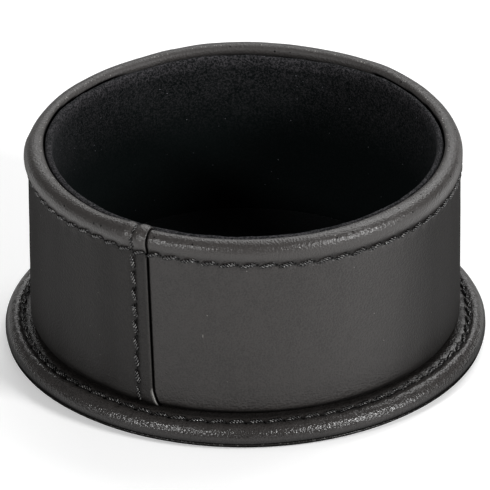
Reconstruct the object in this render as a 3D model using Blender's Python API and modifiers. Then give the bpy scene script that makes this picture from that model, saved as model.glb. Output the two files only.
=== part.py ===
# Round leather-covered desk cup on a wider base with a padded edge.
# Metres, +Z up. The origin is the centre of the underside, and the front faces -Y.
# Angles round the cup start at the front and grow to the right, seen from the front.

import math

import bmesh
import bpy
from mathutils import Vector

MM = 0.001

# Overall sizes
WALL_RADIUS = 49.0 * MM       # outer face of the wall's leather
CUP_HEIGHT = 49.5 * MM        # resting plane to the top of the rim
BASE_RADIUS = 54.9 * MM       # widest point of the base's padded edge
BASE_HEIGHT = 5.8 * MM        # resting plane to the top of the base

# Layers, and the gap that the glue takes between them
FIT_GAP = 0.3 * MM
COVER_LEATHER = 0.9 * MM
BASE_LEATHER = 0.9 * MM
WALL_BOARD = 1.5 * MM
LINING_CARD = 0.5 * MM
LINING_VELVET = 0.5 * MM
FLOOR_CARD = 1.5 * MM
FLOOR_VELVET = 0.5 * MM

# Rim and foot of the wall
RIM_OUTER_ROUND = 1.8 * MM    # outer corner of the leather over the rim
RIM_INNER_ROUND = 0.45 * MM   # inner corner of the leather over the rim
RIM_TURN_IN = 8.0 * MM        # how far the leather runs down inside the rim
FOOT_ROUND = 1.8 * MM         # outer corner of the leather under the foot
FOOT_TURN_IN = 2.4 * MM       # how far the leather runs in under the foot
LINING_DROP = 1.3 * MM        # rim top down to the lining's folded top edge
LINING_ROUND = 0.3 * MM       # corners of the lining's folded top edge

# The lap where the strip's folded end covers its other end
SEAM_ANGLE = math.radians(-26.2)
SEAM_LEAN = 1.5 * MM          # how far the fold runs to the right from rim to foot
LEAN_REACH = 30.0 * MM        # the lean dies out this far from the fold
TONGUE_LENGTH = 8.0 * MM      # thinned end that lies under the lap
TONGUE_LEATHER = 0.45 * MM
TONGUE_HEM = 0.3 * MM         # the same end inside the rim and under the foot
LAP_GAP = 0.2 * MM
FLAP_LEATHER = 0.85 * MM
SEAM_GAP = 0.5 * MM           # open line between the fold and the leather beside it
FLAP_RAMP = 3.0 * MM          # length over which the strip climbs onto its other end
FLAP_FLAT = 1.3 * MM          # from the top of that climb to the tongue's end
FOLD_ROUND = 0.25 * MM

# Stitches
THREAD_RADIUS = 0.3 * MM
STITCH_PITCH = 4.1 * MM
STITCH_RISE = 0.1 * MM        # middle of a stitch above its two holes
STITCH_SLANT = 0.15 * MM      # each stitch crosses its line by this much, both ways
RIM_STITCH_DROP = 5.2 * MM    # rim top down to the row round the wall
SEAM_STITCH_INSET = 4.0 * MM  # fold back to the row beside it
BASE_STITCH_INSET = 3.9 * MM  # widest point of the base in to its row
UNDER_THREAD_DEPTH = 0.4 * MM # centre of the lower thread above the resting plane

# Base
COVER_SEAM_ANGLE = math.radians(43.0)   # below level, round the padded edge
BOARD_EDGE_ROUND = 0.3 * MM
FLOOR_EDGE_ROUND = 0.4 * MM

# Counts of flat faces round a turn and along a rounded corner
TURN_STEPS = 48
RIM_STEPS = 3
FOOT_STEPS = 3
ROLL_STEPS = 6

# Places worked out from the sizes
BASE_TOP = BASE_HEIGHT
WALL_FOOT = BASE_TOP + FIT_GAP
FOOT_INNER_Z = WALL_FOOT + COVER_LEATHER
RIM_INNER_Z = CUP_HEIGHT - COVER_LEATHER
COVER_BACK = WALL_RADIUS - COVER_LEATHER
TUBE_OUTER = COVER_BACK - FIT_GAP
TUBE_INNER = TUBE_OUTER - WALL_BOARD
TURN_IN_BACK = TUBE_INNER - FIT_GAP
RIM_MOUTH = TURN_IN_BACK - COVER_LEATHER
CARD_OUTER = RIM_MOUTH - FIT_GAP
CARD_INNER = CARD_OUTER - LINING_CARD
VELVET_OUTER = CARD_INNER - FIT_GAP
VELVET_INNER = VELVET_OUTER - LINING_VELVET
LINING_TOP = CUP_HEIGHT - LINING_DROP
CARD_TOP = LINING_TOP - LINING_VELVET - FIT_GAP
FLOOR_RADIUS = VELVET_INNER - FIT_GAP
FLOOR_CARD_RADIUS = FLOOR_RADIUS - FLOOR_VELVET - FIT_GAP
FLOOR_CARD_TOP = WALL_FOOT + FLOOR_CARD
FLOOR_BACK_Z = FLOOR_CARD_TOP + FIT_GAP
FLOOR_Z = FLOOR_BACK_Z + FLOOR_VELVET
RIM_STITCH_Z = CUP_HEIGHT - RIM_STITCH_DROP
FLAP_BACK = TONGUE_LEATHER + LAP_GAP
FLAP_FACE = FLAP_BACK + FLAP_LEATHER
FLAP_HEM_BACK = TONGUE_HEM + LAP_GAP
LAP_RISE = FLAP_FACE - COVER_LEATHER
ROLL_RADIUS = BASE_HEIGHT / 2
ROLL_CENTRE = BASE_RADIUS - ROLL_RADIUS
BASE_STITCH_RADIUS = BASE_RADIUS - BASE_STITCH_INSET
STITCH_CLEARANCE = THREAD_RADIUS + FIT_GAP
BOARD_RADIUS = BASE_STITCH_RADIUS - STITCH_CLEARANCE
FILLER_INNER = BASE_STITCH_RADIUS + STITCH_CLEARANCE
FILLER_ROUND = ROLL_RADIUS - BASE_LEATHER - FIT_GAP
GROOVE_DEPTH = THREAD_RADIUS + FIT_GAP
GROOVE_FLOOR = STITCH_SLANT + 0.5 * THREAD_RADIUS
GROOVE_MOUTH = STITCH_SLANT + THREAD_RADIUS + FIT_GAP
WALL_GIRTH = 2 * math.pi * WALL_RADIUS


def empty_scene():
    for obj in list(bpy.data.objects):
        bpy.data.objects.remove(obj, do_unlink=True)


def new_collection(name):
    collection = bpy.data.collections.new(name)
    bpy.context.scene.collection.children.link(collection)
    return collection


def make_material(name, colour, roughness, metallic=0.0):
    material = bpy.data.materials.new(name)
    material.use_nodes = True
    shader = material.node_tree.nodes["Principled BSDF"]
    shader.inputs["Base Color"].default_value = (*colour, 1.0)
    shader.inputs["Roughness"].default_value = roughness
    shader.inputs["Metallic"].default_value = metallic
    material.diffuse_color = (*colour, 1.0)
    return material


def leather_material(name):
    return make_material(name, (0.050, 0.047, 0.045), 0.42)


def thread_material(name):
    return make_material(name, (0.015, 0.015, 0.016), 0.35)


def velvet_material(name):
    return make_material(name, (0.006, 0.008, 0.008), 0.95)


def board_material(name):
    return make_material(name, (0.30, 0.26, 0.20), 0.85)


def felt_material(name):
    return make_material(name, (0.32, 0.31, 0.29), 0.95)


def arc_points(centre_r, centre_z, radius, start, end, steps):
    # Points round an arc in the (radius, height) plane. Angle 0 is outward, +90 degrees is up.
    points = []
    for i in range(steps + 1):
        angle = start + (end - start) * i / steps
        points.append((centre_r + radius * math.cos(angle), centre_z + radius * math.sin(angle)))
    return points


def foot_curve(centre_r, centre_z, low_radius, side_radius, steps):
    # A quarter turn from straight below a centre to level with it, its radius growing on the way.
    points = []
    for i in range(steps + 1):
        part = i / steps
        angle = -math.pi / 2 * (1 - part)
        radius = low_radius + (side_radius - low_radius) * part
        points.append((centre_r + radius * math.cos(angle), centre_z + radius * math.sin(angle)))
    return points


def turned(name, profile, ring, material):
    # A profile turned round Z. A ring's profile is a closed loop. A disc's starts and ends on Z.
    mesh = bpy.data.meshes.new(name)
    verts = [(r, 0.0, z) for r, z in profile]
    edges = [(i, i + 1) for i in range(len(verts) - 1)]
    if ring:
        edges.append((len(verts) - 1, 0))
    mesh.from_pydata(verts, edges, [])
    obj = bpy.data.objects.new(name, mesh)
    PARTS.objects.link(obj)
    mesh.materials.append(material)
    screw = obj.modifiers.new("turn", "SCREW")
    screw.axis = "Z"
    screw.steps = TURN_STEPS
    screw.render_steps = TURN_STEPS
    screw.use_merge_vertices = True
    screw.merge_threshold = 0.00001
    screw.use_smooth_shade = False
    return obj


def place(angle, radius, z):
    return Vector((radius * math.sin(angle), -radius * math.cos(angle), z))


def seam_distance(s):
    # Shortest way to the fold along the wall from a point s round it.
    return min(abs(s), abs(WALL_GIRTH - s))


def wall_angle(s, z):
    # s is the way round the wall from the fold, to the right. Near the fold all leans with it.
    middle = (WALL_FOOT + CUP_HEIGHT) / 2
    reach = max(0.0, 1.0 - seam_distance(s) / LEAN_REACH)
    lean = SEAM_LEAN * reach * (middle - z) / (CUP_HEIGHT - WALL_FOOT)
    return SEAM_ANGLE + (s + lean) / WALL_RADIUS


def strip_face(face, hem, groove_face):
    # The leather's outer face as (radius, height) from the hem under the foot, up the wall, over the
    # rim and down to the end of the turn-in. face and hem are its distances from the strip's inner
    # line on the wall and on the hems, and groove_face is its distance in the rim's stitch groove.
    foot = COVER_BACK + COVER_LEATHER - FOOT_ROUND
    rim = COVER_BACK + COVER_LEATHER - RIM_OUTER_ROUND
    foot_z = WALL_FOOT + FOOT_ROUND
    rim_z = CUP_HEIGHT - RIM_OUTER_ROUND
    foot_bend = FOOT_ROUND - COVER_LEATHER
    rim_bend = RIM_OUTER_ROUND - COVER_LEATHER
    mouth = TURN_IN_BACK - hem
    crest = RIM_INNER_Z + face
    points = [(foot - FOOT_TURN_IN + foot_bend, FOOT_INNER_Z - hem)]
    points += foot_curve(foot, foot_z, foot_bend + hem, foot_bend + face, FOOT_STEPS)
    points.append((COVER_BACK + face, RIM_STITCH_Z - GROOVE_MOUTH))
    points.append((COVER_BACK + groove_face, RIM_STITCH_Z - GROOVE_FLOOR))
    points.append((COVER_BACK + groove_face, RIM_STITCH_Z + GROOVE_FLOOR))
    points.append((COVER_BACK + face, RIM_STITCH_Z + GROOVE_MOUTH))
    points += arc_points(rim, rim_z, rim_bend + face, 0.0, math.pi / 2, RIM_STEPS)
    points += arc_points(mouth + RIM_INNER_ROUND, crest - RIM_INNER_ROUND, RIM_INNER_ROUND,
                         math.pi / 2, math.pi, 2)
    points.append((mouth, CUP_HEIGHT - RIM_TURN_IN))
    return points


def strip_back(back, hem):
    # The leather's glued side, along the same way as strip_face.
    foot = COVER_BACK + COVER_LEATHER - FOOT_ROUND
    rim = COVER_BACK + COVER_LEATHER - RIM_OUTER_ROUND
    foot_bend = FOOT_ROUND - COVER_LEATHER
    rim_bend = RIM_OUTER_ROUND - COVER_LEATHER
    points = [(foot - FOOT_TURN_IN + foot_bend, FOOT_INNER_Z - hem)]
    points += foot_curve(foot, WALL_FOOT + FOOT_ROUND, foot_bend + hem, foot_bend + back,
                         FOOT_STEPS - 1)
    points += arc_points(rim, CUP_HEIGHT - RIM_OUTER_ROUND, rim_bend + back, 0.0, math.pi / 2, 2)
    points += [(TURN_IN_BACK - hem, RIM_INNER_Z + back),
               (TURN_IN_BACK - hem, CUP_HEIGHT - RIM_TURN_IN)]
    return points


def strip_section(s, face, face_hem, back, back_hem, groove_face):
    # One closed cross-section of the strip, set s round the wall from the fold.
    loop = strip_face(face, face_hem, groove_face) + strip_back(back, back_hem)[::-1]
    return [place(wall_angle(s, z), radius, z) for radius, z in loop]


def strip_sections():
    full = COVER_LEATHER
    groove = COVER_LEATHER - GROOVE_DEPTH
    lap_groove = FLAP_FACE - GROOVE_DEPTH
    rows = []
    # The thinned end under the lap, then the step up to full thickness beside the fold.
    for s in (-TONGUE_LENGTH, -TONGUE_LENGTH / 2, 0.0, SEAM_GAP):
        rows.append(strip_section(s, TONGUE_LEATHER, TONGUE_HEM, 0.0, 0.0,
                                  min(groove, TONGUE_LEATHER)))
    rows.append(strip_section(SEAM_GAP + FOLD_ROUND / 2, full - FOLD_ROUND, full - FOLD_ROUND,
                              0.0, 0.0, groove))
    rows.append(strip_section(SEAM_GAP + FOLD_ROUND * 1.5, full, full, 0.0, 0.0, groove))
    # Round the cup in even steps.
    ramp_end = WALL_GIRTH - TONGUE_LENGTH - FLAP_FLAT
    ramp_start = ramp_end - FLAP_RAMP
    step = WALL_GIRTH / TURN_STEPS
    for i in range(1, TURN_STEPS):
        s = i * step
        if SEAM_GAP + FOLD_ROUND * 4 < s < ramp_start - step / 3:
            rows.append(strip_section(s, full, full, 0.0, 0.0, groove))
    # The climb onto the other end, the groove beside the fold, and the fold.
    rows.append(strip_section(ramp_start, full, full, 0.0, 0.0, groove))
    rows.append(strip_section(ramp_end, FLAP_FACE, full, FLAP_BACK, FLAP_HEM_BACK, lap_groove))
    row_line = WALL_GIRTH - SEAM_STITCH_INSET
    for offset, face in ((-GROOVE_MOUTH, FLAP_FACE), (-GROOVE_FLOOR, lap_groove),
                         (GROOVE_FLOOR, lap_groove), (GROOVE_MOUTH, FLAP_FACE)):
        rows.append(strip_section(row_line + offset, face, full, FLAP_BACK, FLAP_HEM_BACK,
                                  lap_groove))
    rows.append(strip_section(WALL_GIRTH - FOLD_ROUND, FLAP_FACE, full, FLAP_BACK, FLAP_HEM_BACK,
                              lap_groove))
    rows.append(strip_section(WALL_GIRTH, FLAP_FACE - FOLD_ROUND, full, FLAP_BACK, FLAP_HEM_BACK,
                              lap_groove - FOLD_ROUND / 3))
    return rows


def lofted(name, sections, material):
    # A body through unlike closed sections, with its two ends filled.
    bm = bmesh.new()
    loops = [[bm.verts.new(point) for point in section] for section in sections]
    count = len(sections[0])
    for near, far in zip(loops, loops[1:]):
        for i in range(count):
            j = (i + 1) % count
            bm.faces.new((near[i], near[j], far[j], far[i]))
    bm.faces.new(loops[0])
    bm.faces.new(loops[-1])
    bmesh.ops.recalc_face_normals(bm, faces=bm.faces)
    mesh = bpy.data.meshes.new(name)
    bm.to_mesh(mesh)
    bm.free()
    mesh.materials.append(material)
    obj = bpy.data.objects.new(name, mesh)
    PARTS.objects.link(obj)
    return obj


def thread(name, points, closed, material):
    # One run of thread along a line of points.
    curve = bpy.data.curves.new(name, "CURVE")
    curve.dimensions = "3D"
    curve.bevel_depth = THREAD_RADIUS
    curve.bevel_resolution = 1
    curve.use_fill_caps = True
    spline = curve.splines.new("POLY")
    spline.points.add(len(points) - 1)
    for point, place_at in zip(spline.points, points):
        point.co = (*place_at, 1.0)
    spline.use_cyclic_u = closed
    curve.materials.append(material)
    obj = bpy.data.objects.new(name, curve)
    PARTS.objects.link(obj)
    return obj


def stitch_count(length):
    return max(1, round(length / STITCH_PITCH))


def stitch_wave(i):
    # Each stitch has two points: its near hole, low on one side, and its crown, high on the other.
    crown = i % 2
    rise = STITCH_RISE if crown else 0.0
    side = STITCH_SLANT if crown else -STITCH_SLANT
    return rise, side


def lap_rise(s):
    # How far the strip's outer face stands out beyond the wall's radius, s round from the fold.
    ramp_end = WALL_GIRTH - TONGUE_LENGTH - FLAP_FLAT
    ramp_start = ramp_end - FLAP_RAMP
    if s > ramp_end:
        return LAP_RISE
    if s > ramp_start:
        return LAP_RISE * (s - ramp_start) / FLAP_RAMP
    if s < SEAM_GAP:
        return LAP_RISE
    return 0.0


def build_wall_core_tube():
    # Its two outer corners run parallel to the leather bent round them.
    rim_bend = RIM_OUTER_ROUND - COVER_LEATHER - FIT_GAP
    foot_bend = FOOT_ROUND - COVER_LEATHER - FIT_GAP
    profile = [(TUBE_INNER, RIM_INNER_Z - FIT_GAP)]
    profile += arc_points(WALL_RADIUS - RIM_OUTER_ROUND, CUP_HEIGHT - RIM_OUTER_ROUND, rim_bend,
                          math.pi / 2, 0.0, 2)
    profile += arc_points(WALL_RADIUS - FOOT_ROUND, WALL_FOOT + FOOT_ROUND, foot_bend,
                          0.0, -math.pi / 2, 2)
    profile.append((TUBE_INNER, FOOT_INNER_Z + FIT_GAP))
    return turned("wall_core_tube", profile, True, board_material("wall_board"))


def build_wall_cover():
    return lofted("wall_cover", strip_sections(), leather_material("wall_leather"))


def build_rim_stitching():
    count = 2 * stitch_count(WALL_GIRTH)
    points = []
    for i in range(count):
        s = WALL_GIRTH * i / count
        rise, side = stitch_wave(i)
        z = RIM_STITCH_Z + side
        points.append(place(wall_angle(s, z), WALL_RADIUS + lap_rise(s) + rise, z))
    return thread("rim_stitching", points, True, thread_material("rim_thread"))


def build_seam_stitching():
    row = WALL_GIRTH - SEAM_STITCH_INSET
    low = WALL_FOOT + FOOT_ROUND + THREAD_RADIUS
    high = RIM_STITCH_Z - STITCH_SLANT - 2 * THREAD_RADIUS - FIT_GAP
    count = 2 * stitch_count(high - low)
    points = []
    for i in range(count + 1):
        z = low + (high - low) * i / count
        rise, side = stitch_wave(i)
        points.append(place(wall_angle(row + side, z), WALL_RADIUS + LAP_RISE + rise, z))
    return thread("seam_stitching", points, False, thread_material("seam_thread"))


def build_rim_seam_stitching():
    # Up from the rim's row and over the rounded corner to the middle of the rim's top.
    row = WALL_GIRTH - SEAM_STITCH_INSET
    bend = RIM_OUTER_ROUND + LAP_RISE
    rim = WALL_RADIUS - RIM_OUTER_ROUND
    rim_z = CUP_HEIGHT - RIM_OUTER_ROUND
    low = RIM_STITCH_Z + STITCH_SLANT + 2 * THREAD_RADIUS + FIT_GAP
    path = [(WALL_RADIUS + LAP_RISE, low), (WALL_RADIUS + LAP_RISE, (low + rim_z) / 2)]
    path += arc_points(rim, rim_z, bend, 0.0, math.pi / 2, 4)
    points = [place(wall_angle(row, z), radius, z) for radius, z in path]
    return thread("rim_seam_stitching", points, False, thread_material("rim_seam_thread"))


def build_lining_card_tube():
    profile = [(CARD_INNER, CARD_TOP), (CARD_OUTER, CARD_TOP), (CARD_OUTER, WALL_FOOT),
               (CARD_INNER, WALL_FOOT)]
    return turned("lining_card_tube", profile, True, board_material("lining_card"))


def build_wall_lining():
    # Velvet on the card's inner face, turned out over the card's top edge.
    r = LINING_ROUND
    fold_back = LINING_TOP - LINING_VELVET
    profile = arc_points(VELVET_INNER + r, LINING_TOP - r, r, math.pi, math.pi / 2, 2)
    profile += arc_points(CARD_OUTER - r, LINING_TOP - r, r, math.pi / 2, 0.0, 2)
    profile += [(CARD_OUTER, fold_back), (VELVET_OUTER, fold_back), (VELVET_OUTER, WALL_FOOT),
                (VELVET_INNER, WALL_FOOT)]
    return turned("wall_lining", profile, True, velvet_material("lining_velvet"))


def build_floor_card():
    profile = [(0.0, FLOOR_CARD_TOP), (FLOOR_CARD_RADIUS, FLOOR_CARD_TOP),
               (FLOOR_CARD_RADIUS, WALL_FOOT), (0.0, WALL_FOOT)]
    return turned("floor_card", profile, False, board_material("floor_board"))


def build_floor_lining():
    # Velvet over the floor card, turned down round its edge.
    r = FLOOR_EDGE_ROUND
    profile = [(0.0, FLOOR_Z)]
    profile += arc_points(FLOOR_RADIUS - r, FLOOR_Z - r, r, math.pi / 2, 0.0, 2)
    profile += [(FLOOR_RADIUS, WALL_FOOT), (FLOOR_RADIUS - FLOOR_VELVET, WALL_FOOT),
                (FLOOR_RADIUS - FLOOR_VELVET, FLOOR_BACK_Z), (0.0, FLOOR_BACK_Z)]
    return turned("floor_lining", profile, False, velvet_material("floor_velvet"))


def build_base_board():
    low = BASE_LEATHER + FIT_GAP
    high = BASE_TOP - BASE_LEATHER - FIT_GAP
    e = BOARD_EDGE_ROUND
    profile = [(0.0, high), (BOARD_RADIUS - e, high), (BOARD_RADIUS, high - e), (BOARD_RADIUS, low + e),
               (BOARD_RADIUS - e, low), (0.0, low)]
    return turned("base_board", profile, False, board_material("base_board_card"))


def build_base_edge_filler():
    profile = [(FILLER_INNER, ROLL_RADIUS + FILLER_ROUND)]
    profile += arc_points(ROLL_CENTRE, ROLL_RADIUS, FILLER_ROUND, math.pi / 2, -math.pi / 2, ROLL_STEPS)
    profile += [(FILLER_INNER, ROLL_RADIUS - FILLER_ROUND)]
    return turned("base_edge_filler", profile, True, felt_material("edge_padding"))


def build_base_top_cover():
    # Leather over the base, pulled down by the stitches, then round the padded edge to the low seam.
    half_gap = FIT_GAP / 2 / (ROLL_RADIUS - BASE_LEATHER)
    end = -(COVER_SEAM_ANGLE - half_gap)
    line = BASE_STITCH_RADIUS
    back = BASE_TOP - BASE_LEATHER
    pinch = BOARD_RADIUS + FIT_GAP
    profile = [(0.0, BASE_TOP), (line - GROOVE_MOUTH, BASE_TOP),
               (line - GROOVE_FLOOR, BASE_TOP - GROOVE_DEPTH),
               (line + GROOVE_FLOOR, BASE_TOP - GROOVE_DEPTH),
               (line + GROOVE_MOUTH, BASE_TOP)]
    profile += arc_points(ROLL_CENTRE, ROLL_RADIUS, ROLL_RADIUS, math.pi / 2, end, ROLL_STEPS)
    profile += arc_points(ROLL_CENTRE, ROLL_RADIUS, ROLL_RADIUS - BASE_LEATHER, end, math.pi / 2,
                          ROLL_STEPS - 1)
    profile += [(2 * line - pinch, back), (line, back - GROOVE_DEPTH / 2), (pinch, back), (0.0, back)]
    return turned("base_top_cover", profile, False, leather_material("base_leather"))


def build_base_underside_cover():
    # Leather under the base. Its edge curls up to the low seam.
    half_gap = FIT_GAP / 2 / (ROLL_RADIUS - BASE_LEATHER)
    end = -(COVER_SEAM_ANGLE + half_gap)
    line = BASE_STITCH_RADIUS
    pinch = BOARD_RADIUS + FIT_GAP
    depth = UNDER_THREAD_DEPTH + THREAD_RADIUS + FIT_GAP
    profile = [(0.0, BASE_LEATHER), (pinch, BASE_LEATHER), (line, BASE_LEATHER + depth / 2),
               (2 * line - pinch, BASE_LEATHER)]
    profile += arc_points(ROLL_CENTRE, ROLL_RADIUS, ROLL_RADIUS - BASE_LEATHER, -math.pi / 2, end, 2)
    profile += arc_points(ROLL_CENTRE, ROLL_RADIUS, ROLL_RADIUS, end, -math.pi / 2, 3)
    profile += [(line + GROOVE_MOUTH, 0.0), (line + GROOVE_FLOOR, depth), (line - GROOVE_FLOOR, depth),
                (line - GROOVE_MOUTH, 0.0), (0.0, 0.0)]
    return turned("base_underside_cover", profile, False, leather_material("underside_leather"))


def build_base_stitching():
    count = 2 * stitch_count(2 * math.pi * BASE_STITCH_RADIUS)
    points = []
    for i in range(count):
        rise, side = stitch_wave(i)
        points.append(place(2 * math.pi * i / count, BASE_STITCH_RADIUS + side, BASE_TOP + rise))
    return thread("base_stitching", points, True, thread_material("base_thread"))


def build_base_under_stitching():
    # The lower thread of the same row lies flat in its groove, one point to a stitch.
    count = stitch_count(2 * math.pi * BASE_STITCH_RADIUS)
    points = []
    for i in range(count):
        points.append(place(2 * math.pi * i / count, BASE_STITCH_RADIUS, UNDER_THREAD_DEPTH))
    return thread("base_under_stitching", points, True, thread_material("base_lower_thread"))


empty_scene()
PARTS = new_collection("paper_clip_holder")
build_base_underside_cover()
build_base_board()
build_base_edge_filler()
build_base_top_cover()
build_base_stitching()
build_base_under_stitching()
build_wall_core_tube()
build_wall_cover()
build_rim_stitching()
build_seam_stitching()
build_rim_seam_stitching()
build_lining_card_tube()
build_wall_lining()
build_floor_card()
build_floor_lining()
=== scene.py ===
import math
import random
from itertools import accumulate

import bpy
from mathutils import Matrix, Vector, noise


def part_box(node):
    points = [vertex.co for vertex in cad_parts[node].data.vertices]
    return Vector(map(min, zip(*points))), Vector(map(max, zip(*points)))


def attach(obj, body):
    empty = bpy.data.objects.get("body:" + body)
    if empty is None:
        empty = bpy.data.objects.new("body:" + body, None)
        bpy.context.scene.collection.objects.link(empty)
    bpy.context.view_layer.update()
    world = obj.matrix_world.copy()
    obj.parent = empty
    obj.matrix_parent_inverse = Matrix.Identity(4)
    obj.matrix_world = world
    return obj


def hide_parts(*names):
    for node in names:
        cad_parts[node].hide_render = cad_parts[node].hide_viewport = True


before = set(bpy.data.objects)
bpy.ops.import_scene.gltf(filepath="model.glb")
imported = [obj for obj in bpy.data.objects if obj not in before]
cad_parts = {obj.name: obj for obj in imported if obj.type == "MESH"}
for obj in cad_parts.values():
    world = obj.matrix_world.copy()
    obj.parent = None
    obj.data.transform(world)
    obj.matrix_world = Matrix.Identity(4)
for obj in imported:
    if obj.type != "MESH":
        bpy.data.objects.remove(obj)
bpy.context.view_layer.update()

mm = 0.001
turn = 2 * math.pi


def topOf(node):
    return round(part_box(node)[1].z / mm, 2)


def reachOf(node):
    return round(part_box(node)[1].x / mm, 2)


# Sizes in mm, taken from the parts that stay
skinOver = 1.2  # from the board tube to the face of the leather glued over it
wallRadius = round(reachOf("wall_core_tube") + skinOver, 1)
rimHeight = round(topOf("wall_core_tube") + skinOver, 1)
baseRadius = reachOf("base_top_cover")
baseTop = topOf("base_top_cover")
liningTop = topOf("wall_lining")
floorTop = topOf("floor_lining")
print("sizes: wall", wallRadius, "rim", rimHeight, "base", baseRadius, baseTop)
print("sizes: lining", liningTop, "floor", floorTop)

foldAngle = math.radians(-25.75)  # the strip's folded end, at the front left
wallRound = turn * wallRadius


# Small sums that the pieces share
def ease(value, start, end):
    share = min(max((value - start) / (end - start), 0.0), 1.0)
    return share * share * (3 - 2 * share)


def bell(value, width):
    return math.exp(-((value / width) ** 2))


def ripple(x, y, z, size, seed):
    return noise.noise(Vector((x / size + seed, y / size - seed, z / size + 2 * seed)))


def wander(angle, table):
    # a value that wanders round the cup, from a table of (degrees from the front, value)
    degrees = (math.degrees(angle) + 180) % 360 - 180
    for (start, low), (end, high) in zip(table, table[1:]):
        if degrees <= end:
            return low + (high - low) * ease(degrees, start, end)
    return table[-1][1]


def away(across, along, a, b):
    # distance from a point to the short line between a and b
    start, end, point = Vector(a), Vector(b), Vector((along, across))
    length = end - start
    share = min(max((point - start).dot(length) / length.length_squared, 0), 1)
    return (point - start - length * share).length


def angleAt(x, y):
    return math.atan2(x, -y)


def roundPlace(reach, angle, height):
    # from mm, with the angle from the front, to a place in the scene
    return Vector((reach * math.sin(angle), -reach * math.cos(angle), height)) * mm


def steps(start, end, count):
    return [start + (end - start) * index / count for index in range(count)]


# Shader values that Python sums can use
class Wire:
    def __init__(self, finish, socket):
        self.finish = finish
        self.socket = socket

    def sum(self, operation, *values):
        return self.finish.add("Math", {"operation": operation}, dict(enumerate(values)), 0)

    def __add__(self, other):
        return self.sum("ADD", self, other)

    def __radd__(self, other):
        return self.sum("ADD", other, self)

    def __sub__(self, other):
        return self.sum("SUBTRACT", self, other)

    def __rsub__(self, other):
        return self.sum("SUBTRACT", other, self)

    def __mul__(self, other):
        return self.sum("MULTIPLY", self, other)

    def __truediv__(self, other):
        return self.sum("DIVIDE", self, other)

    def __pow__(self, other):
        return self.sum("POWER", self, other)

    def __gt__(self, other):
        return self.sum("GREATER_THAN", self, other)

    def __lt__(self, other):
        return self.sum("LESS_THAN", self, other)

    def lowest(self, other):
        return self.sum("MINIMUM", self, other)

    def highest(self, other):
        return self.sum("MAXIMUM", self, other)

    def ramp(self, start, end, low=0.0, high=1.0):
        values = {"Value": self, "From Min": start, "From Max": end, "To Min": low, "To Max": high}
        return self.finish.add("MapRange", {"interpolation_type": "SMOOTHSTEP"}, values, 0)

    def zone(self, start, end, low=0.0, high=1.0):
        # the same for a reach or a height, with its two places in mm
        return self.ramp(start * mm, end * mm, low, high)


class Finish:
    def __init__(self, name):
        self.material = bpy.data.materials.new(name)
        self.material.use_nodes = True
        self.tree = self.material.node_tree
        self.shader = self.tree.nodes["Principled BSDF"]

    def add(self, kind, settings=None, values=None, out=None):
        node = self.tree.nodes.new("ShaderNode" + kind)
        for name, value in (settings or {}).items():
            setattr(node, name, value)
        for name, value in (values or {}).items():
            self.feed(node.inputs[name], value)
        return node if out is None else Wire(self, node.outputs[out])

    def feed(self, socket, value):
        if isinstance(value, Wire):
            self.tree.links.new(value.socket, socket)
        else:
            socket.default_value = value

    def set(self, **values):
        for name, value in values.items():
            self.feed(self.shader.inputs[name.replace("_", " ")], value)

    def place(self):
        return self.add("TexCoord", out="Object")

    def attribute(self, name):
        return self.add("Attribute", {"attribute_name": name}, None, "Fac")

    def facing(self):
        # 0 where the face looks at the eye, 1 at its outline
        return self.add("LayerWeight", None, {"Blend": 0.5}, "Facing")

    def parts(self, vector):
        node = self.add("SeparateXYZ", None, {0: vector})
        return [Wire(self, socket) for socket in node.outputs]

    def whole(self, x, y, z):
        return self.add("CombineXYZ", None, {0: x, 1: y, 2: z}, 0)

    def stretch(self, vector, scale, shift=(0, 0, 0)):
        values = {"Vector": vector, "Scale": scale, "Location": shift}
        return self.add("Mapping", None, values, 0)

    def clouds(self, vector, size, detail=2.0, rough=0.5):
        values = {"Vector": vector, "Scale": 1 / (size * mm), "Detail": detail, "Roughness": rough}
        return self.add("TexNoise", None, values, 0)

    def cells(self, vector, size, out="Distance"):
        values = {"Vector": vector, "Scale": 1 / (size * mm)}
        return self.add("TexVoronoi", {"feature": "F1"}, values, out)

    def specks(self, vector, size, width, share):
        # small dots, one in some of the cells
        shown = self.parts(self.cells(vector, size, out="Color"))[0] < share
        return self.cells(vector, size).ramp(width / size, 0.55 * width / size) * shown

    def tint(self, share, first, second):
        colours = [value if isinstance(value, Wire) else (*value, 1.0) for value in (first, second)]
        values = {0: share, 6: colours[0], 7: colours[1]}
        return self.add("Mix", {"data_type": "RGBA"}, values, 2)

    def raised(self, height):
        # height is in mm
        return self.add("Bump", None, {"Height": height, "Distance": mm, "Strength": 1.0}, 0)

    def darken(self, share):
        # turns a share of the surface into a dull black
        black = self.add("BsdfDiffuse", None, {"Color": (0.0006, 0.0006, 0.0006, 1)}, 0)
        shown = Wire(self, self.shader.outputs[0])
        both = self.add("MixShader", None, {0: share, 1: shown, 2: black}, 0)
        output = next(node for node in self.tree.nodes if node.type == "OUTPUT_MATERIAL")
        self.feed(output.inputs["Surface"], both)


# Leather: smooth calf, a warm black with a soft gloss. Sizes and heights are in mm
leatherLook = {
    "colour": (0.0230, 0.0204, 0.0192),
    "pale": (0.0500, 0.0453, 0.0430),
    # pale colour painted on the fold's edge as a highlight, and a touch of it on the underside's edge
    "worn": (0.600, 0.585, 0.560),
    # black painted as shade in the stitch holes, the seam's gap and behind the fold
    "hole": (0.0008, 0.0008, 0.0008),
    "lint": (0.32, 0.31, 0.29),
    "poreSize": 0.50,
    "poreHeight": 0.085,
    "fineSize": 0.30,
    "fineHeight": 0.042,
    "cloudSize": 2.2,
    "cloudHeight": 0.012,
    "broadSize": 9.0,
    "creaseSize": 0.48,
    "creaseRound": 0.05,  # the ring that the creases are drawn on, in metres
    "creaseLong": 0.12,  # they change this slowly along themselves
    "creaseWaver": 0.0006,  # and wander this far, in metres
}


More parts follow.
